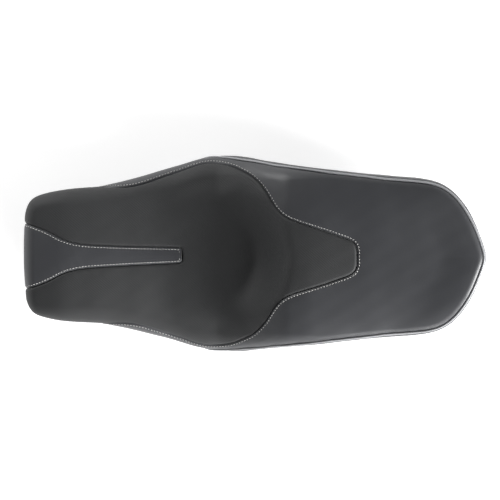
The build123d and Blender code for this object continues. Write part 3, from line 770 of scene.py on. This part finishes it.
# Hem: the cover's edge, turned under the pan's flange and gathered round the corners
hemShape = {
    "wide": 15.0, "thick": 1.1, "lift": 0.15, "count": 520, "columns": 8,
    "pleat": 0.9, "pleatLength": 13.0, "ragged": 1.2,
}


def layHem():
    count = hemShape["count"]
    foot = evenly(outlinePath, count=count + 1)
    i = nearest(outlinePath, foot)
    out = outlineOut[i]
    edge = skin(bottomPath[i])
    bm = bmesh.new()
    s, t = newGrid(bm, count, hemShape["columns"])
    bend = np.linalg.norm(outlineBend[i], axis=1)[s] * 40
    along = s * (outlineStep * len(outlinePath) / count)
    pleat = hemShape["pleat"] * np.abs(np.sin(math.pi * along / hemShape["pleatLength"]))
    pleat = pleat * np.clip(0.25 + bend, 0.25, 1) * ease(t * 1.6)
    ragged = hemShape["ragged"] * (np.sin(s * 0.37) + np.sin(s * 0.91 + 1) / 1.5)
    wide = (hemShape["wide"] + ragged * t) * t + 1.2
    low = edge[s, 2] + hemShape["lift"] + 0.7 * (1 - ease(t * 5)) - pleat * 0.5
    flat = edge[s, :2] - out[s] * wide[:, None]
    for v, q, z in zip(bm.verts, flat, low):
        v.co = (q[0], max(q[1], 0), z)
    mirrorRight(bm)
    bmesh.ops.remove_doubles(bm, verts=bm.verts, dist=0.01)
    bmesh.ops.recalc_face_normals(bm, faces=bm.faces)
    if sum(f.normal.z for f in bm.faces) > 0:
        bmesh.ops.reverse_faces(bm, faces=bm.faces)
    bmesh.ops.scale(bm, vec=(mm, mm, mm), verts=bm.verts)
    return bm


hem = newPiece("turned_hem", layHem(), hemVinyl)
thicken(hem, hemShape["thick"])
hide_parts("cover_hem")
print("piping and hem laid")

# Foam blocks under the cover
foamShape = {
    "gap": 5.6, "step": 5.0, "columns": 60, "joint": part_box("foam_rider")[1].x / mm,
    "nose": -417, "tail": 416,
    "floor": [
        (-440, 80), (-318, 80), (-225, 34), (55, 34), (130, 58), (200, 80), (270, 90), (440, 90),
    ],
}


def layFoam(xLow, xHigh):
    gap = foamShape["gap"]
    rows = int((xHigh - xLow) / foamShape["step"])
    bm = bmesh.new()
    s, t = newGrid(bm, rows, foamShape["columns"])
    x = xLow + (xHigh - xLow) * s / rows
    half = np.interp(x, outlinePath[:, 0], outlinePath[:, 1])
    y = half * np.sin((2 * t - 1) * math.pi / 2)
    depth = np.maximum(outlineFoot(np.stack([x, np.abs(y)], axis=1))[2], 0)
    r = rollRadius(x)
    drop = np.where(depth < r, r - np.sqrt(np.maximum(r * r - (r - depth) ** 2, 0)), 0)
    z = crown(x, y) + tailRim(x, depth) - drop - gap
    atJoint = (x >= xHigh - 1) & (xHigh != foamShape["tail"])
    x = np.where(atJoint, x, x * (1 - gap / 420))
    y = y * np.maximum(half - gap, 1) / np.maximum(half, 1)
    for v, place in zip(bm.verts, np.stack([x, y, z], axis=1)):
        v.co = place
    # the underside is a second grid, so it follows the pan's floor
    under = len(bm.verts)
    newGrid(bm, rows, foamShape["columns"])
    bm.verts.ensure_lookup_table()
    low = np.interp(xLow + (xHigh - xLow) * s / rows, *np.array(foamShape["floor"]).T) + 0.4
    lean = 1 - seatForm["wallLean"] * (1 - ease(low / seatForm["leanFades"])) / 150
    for v, place in zip(bm.verts[under:], np.stack([x, y * lean, low], axis=1)):
        v.co = place
    bmesh.ops.bridge_loops(bm, edges=[e for e in bm.edges if e.is_boundary])
    bmesh.ops.recalc_face_normals(bm, faces=bm.faces)
    bmesh.ops.scale(bm, vec=(mm, mm, mm), verts=bm.verts)
    return bm


bm = layFoam(foamShape["nose"], foamShape["joint"])
foamRider = newPiece("foam_block_rider", bm, foamCream)
bm = layFoam(foamShape["joint"], foamShape["tail"])
foamPassenger = newPiece("foam_block_passenger", bm, foamCream)
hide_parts("foam_rider")
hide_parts("foam_passenger")
print("foam laid")

# Finishes of the hard parts
hardFinishes = {
    "base_pan": panPlastic, "cover_staples": stapleWire, "hinge_seat_bracket": blackPowder,
    "hinge_frame_bracket": blackPowder, "striker_plate": blackPowder,
    "hinge_bush_left": plainBronze,
    "hinge_bush_right": plainBronze,
}
for name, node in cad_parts.items():
    finish = hardFinishes.get(name)
    if name.startswith("bumper"):
        finish = bumperRubber
    if finish is None:
        finish = zincPlate
    node.data.materials.clear()
    node.data.materials.append(finish)

# Studio: white floor seen from above only, a low key from the tail and fills from both sides
studio = {"floor": "#f6f6f6", "glow": 0.55, "horizon": 0.75, "zenith": 0.07, "height": 2.6,
          "middle": (-4, 10), "width": 921, "tilt": 150,
          "lights": {  # place, what it points at, size, power
              "key": ((2.5, -1.0, 0.95), (0, 0, 0.1), 1.0, 130),
              "fill_right": ((-1.4, 2.0, 1.1), (0, 0, 0.1), 1.1, 34),
              "fill_left": ((0.9, -2.2, 1.0), (0.15, 0, 0.1), 1.0, 30),
          }}
floor = bmesh.new()
bmesh.ops.create_grid(floor, x_segments=1, y_segments=1, size=6)
floorMesh = bpy.data.meshes.new("studio_floor")
floor.to_mesh(floorMesh)
floor.free()
floorPiece = bpy.data.objects.new("studio_floor", floorMesh)
bpy.context.scene.collection.objects.link(floorPiece)
floorPiece.location.z = -0.0005
paper, tree = newMaterial("studio_paper_lit_from_behind")
paperFront = addNode(tree, "ShaderNodeBsdfPrincipled", {
    "Base Color": linear(studio["floor"]), "Roughness": 0.95,
    "Emission Color": linear(studio["floor"]), "Emission Strength": studio["glow"]})
paperSide = addNode(tree, "ShaderNodeNewGeometry")
paperBack = addNode(tree, "ShaderNodeBsdfTransparent")
paperMix = addNode(tree, "ShaderNodeMixShader", {}, {
    0: paperSide.outputs["Backfacing"], 1: paperFront.outputs[0], 2: paperBack.outputs[0]})
addNode(tree, "ShaderNodeOutputMaterial", {}, {"Surface": paperMix.outputs[0]})
floorMesh.materials.append(paper)


def addLight(name, place, target, size, power):
    light = bpy.data.lights.new(name, "AREA")
    light.shape = "DISK"
    light.size = size
    light.energy = power
    lamp = bpy.data.objects.new(name, light)
    lamp.location = place
    lamp.rotation_euler = (Vector(target) - Vector(place)).to_track_quat("-Z", "Y").to_euler()
    bpy.context.scene.collection.objects.link(lamp)


for name, light in studio["lights"].items():
    addLight(name, *light)
world = bpy.data.worlds.new("studio")  # pale all round and dark overhead, behind the camera
world.use_nodes = True
tree = world.node_tree
tree.nodes.clear()
skyWay = addNode(tree, "ShaderNodeTexCoord")
skyHeight = addNode(tree, "ShaderNodeSeparateXYZ", {}, {0: skyWay.outputs["Generated"]})
skyPower = addNode(tree, "ShaderNodeMapRange",
                   {"interpolation_type": "SMOOTHSTEP", "From Min": 0.25, "From Max": 0.9,
                    "To Min": studio["horizon"], "To Max": studio["zenith"]},
                   {"Value": skyHeight.outputs[2]})
sky = addNode(tree, "ShaderNodeBackground", {"Color": (1, 1, 1, 1)},
              {"Strength": skyPower.outputs[0]})
addNode(tree, "ShaderNodeOutputWorld", {}, {"Surface": sky.outputs[0]})
bpy.context.scene.world = world
bpy.context.scene.view_settings.view_transform = "Standard"

camera = bpy.data.cameras.new("camera")
cameraPiece = bpy.data.objects.new("camera", camera)
bpy.context.scene.collection.objects.link(cameraPiece)
middle = Vector((studio["middle"][0] * mm, studio["middle"][1] * mm, 0.1))
cameraPiece.location = middle + Vector((0, studio["tilt"] * mm, studio["height"]))
cameraPiece.rotation_euler = (-math.atan2(studio["tilt"] * mm, studio["height"]), 0, 0)
camera.sensor_width = 36
reach = (cameraPiece.location - middle).length
camera.lens = 36 * reach / (studio["width"] * mm)
bpy.context.scene.camera = cameraPiece
